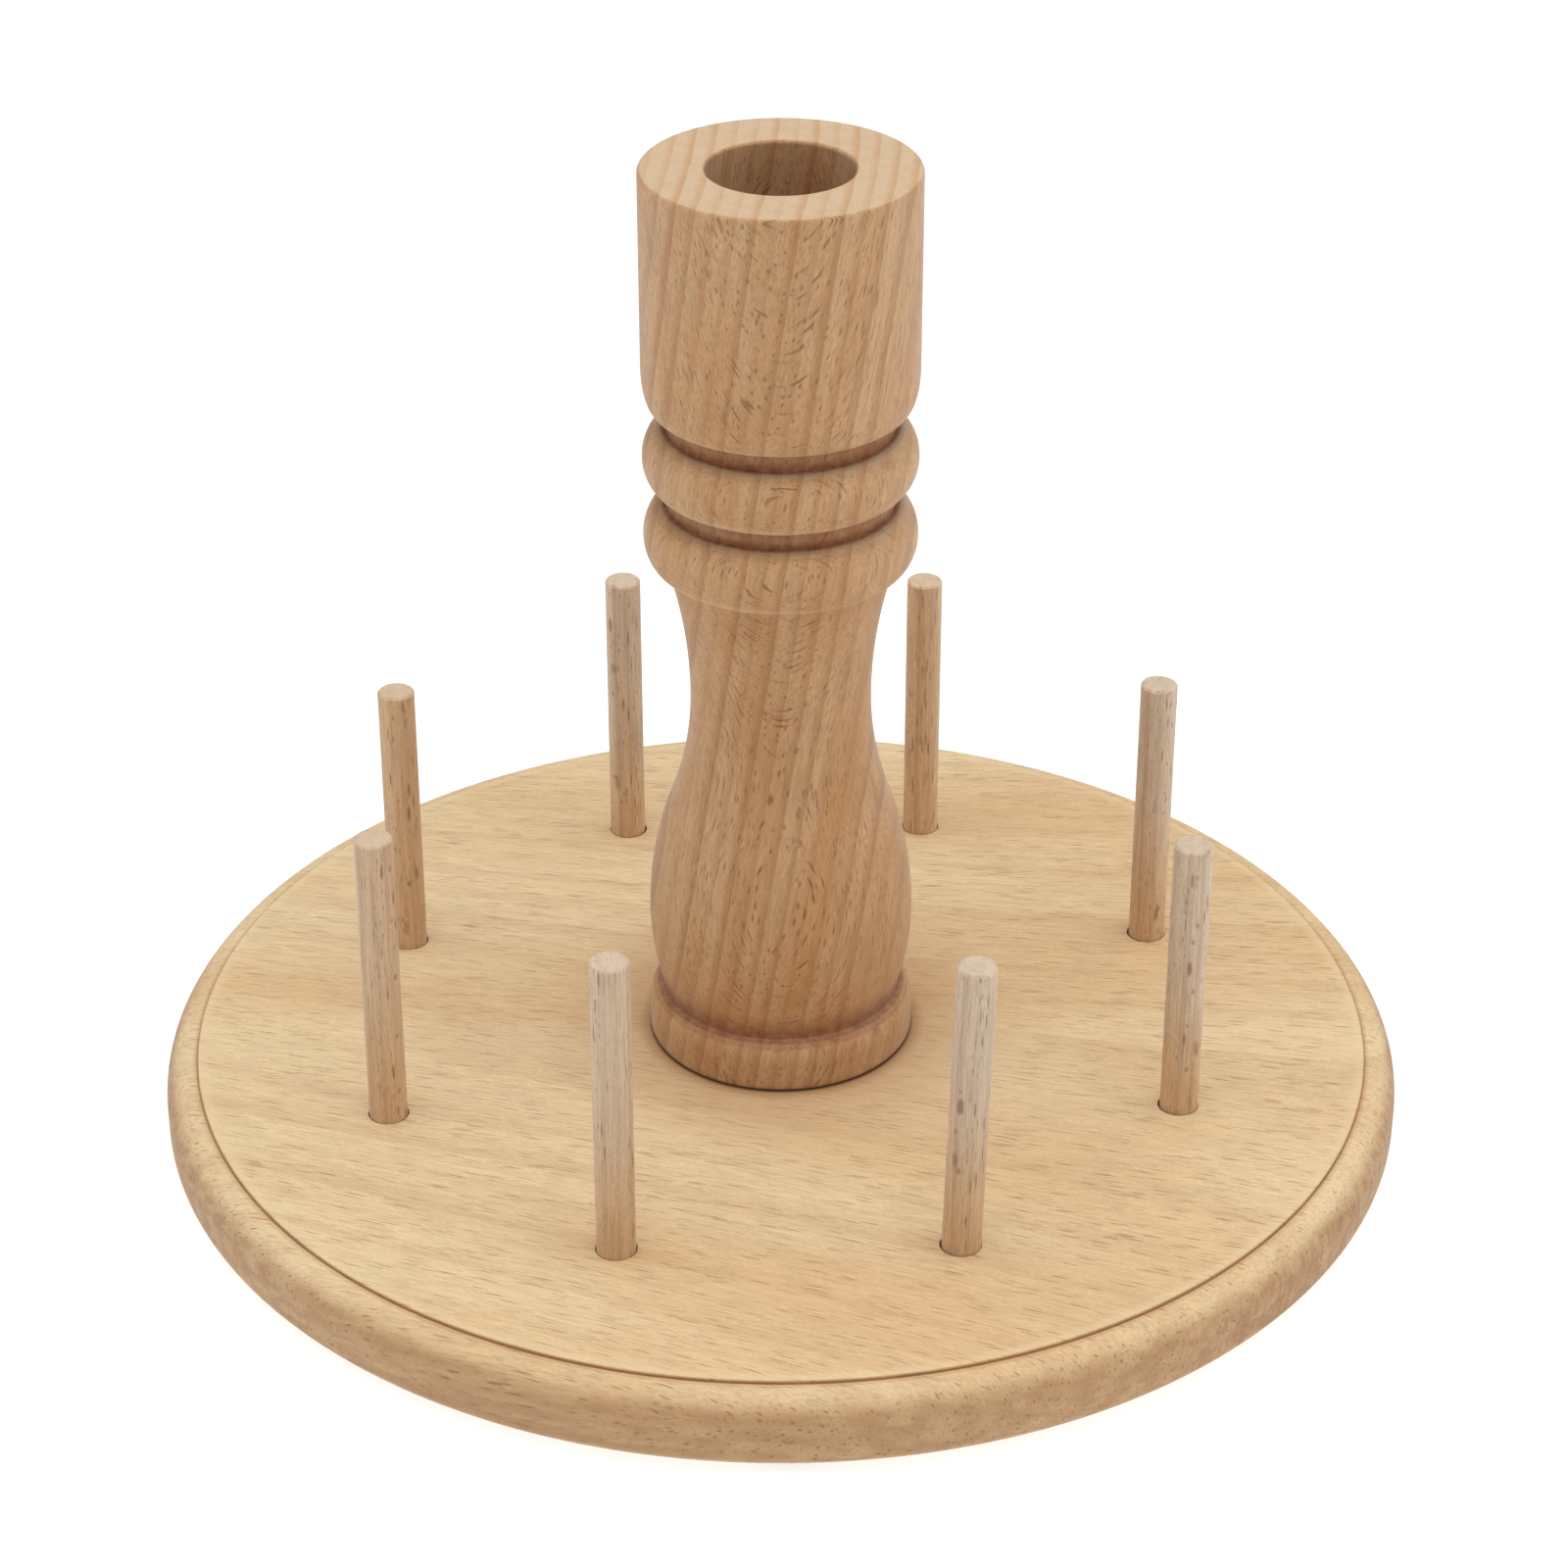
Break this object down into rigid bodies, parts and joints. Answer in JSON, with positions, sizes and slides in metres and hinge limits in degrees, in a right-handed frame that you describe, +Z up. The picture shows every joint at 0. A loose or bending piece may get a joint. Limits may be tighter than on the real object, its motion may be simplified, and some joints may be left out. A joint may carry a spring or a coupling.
{
  "type": "thread spool stand",
  "caption": "Round wooden stand with a turned centre column bored for tools and a ring of upright pegs that hold sewing-thread spools.",
  "frame": {"origin": "centre of the plane that the four foot pads rest on", "axes": "+Z up along the column's axis; -Y towards the front"},
  "size_m": [0.2, 0.2, 0.161],
  "materials": {
    "disc_beech": "unfinished sanded beech, flat sawn",
    "column_beech": "unfinished turned beech",
    "peg_beech": "raw beech dowel",
    "pad_foam": "matte stick-on foam rubber",
    "zinc_steel": "bright zinc-plated"
  },
  "bodies": {
    "stand": {"base_disc": "disc_beech", "column": "column_beech", "column_screw": "zinc_steel", "foot_pad_right": "pad_foam", "foot_pad_back": "pad_foam", "foot_pad_left": "pad_foam", "foot_pad_front": "pad_foam"},
    "loose_peg_1": {"peg_1": "peg_beech"},
    "loose_peg_2": {"peg_2": "peg_beech"},
    "loose_peg_3": {"peg_3": "peg_beech"},
    "loose_peg_4": {"peg_4": "peg_beech"},
    "loose_peg_5": {"peg_5": "peg_beech"},
    "loose_peg_6": {"peg_6": "peg_beech"},
    "loose_peg_7": {"peg_7": "peg_beech"},
    "loose_peg_8": {"peg_8": "peg_beech"}
  },
  "joints": [
    {"name": "peg_1_lift", "type": "slide", "parent": "stand", "child": "loose_peg_1", "axis": [0, 0, 1], "range_m": [0, 0.012]},
    {"name": "peg_2_lift", "type": "slide", "parent": "stand", "child": "loose_peg_2", "axis": [0, 0, 1], "range_m": [0, 0.012]},
    {"name": "peg_3_lift", "type": "slide", "parent": "stand", "child": "loose_peg_3", "axis": [0, 0, 1], "range_m": [0, 0.012]},
    {"name": "peg_4_lift", "type": "slide", "parent": "stand", "child": "loose_peg_4", "axis": [0, 0, 1], "range_m": [0, 0.012]},
    {"name": "peg_5_lift", "type": "slide", "parent": "stand", "child": "loose_peg_5", "axis": [0, 0, 1], "range_m": [0, 0.012]},
    {"name": "peg_6_lift", "type": "slide", "parent": "stand", "child": "loose_peg_6", "axis": [0, 0, 1], "range_m": [0, 0.012]},
    {"name": "peg_7_lift", "type": "slide", "parent": "stand", "child": "loose_peg_7", "axis": [0.0261, 0, 0.9997], "range_m": [0, 0.012]},
    {"name": "peg_8_lift", "type": "slide", "parent": "stand", "child": "loose_peg_8", "axis": [0, 0, 1], "range_m": [0, 0.012]}
  ]
}
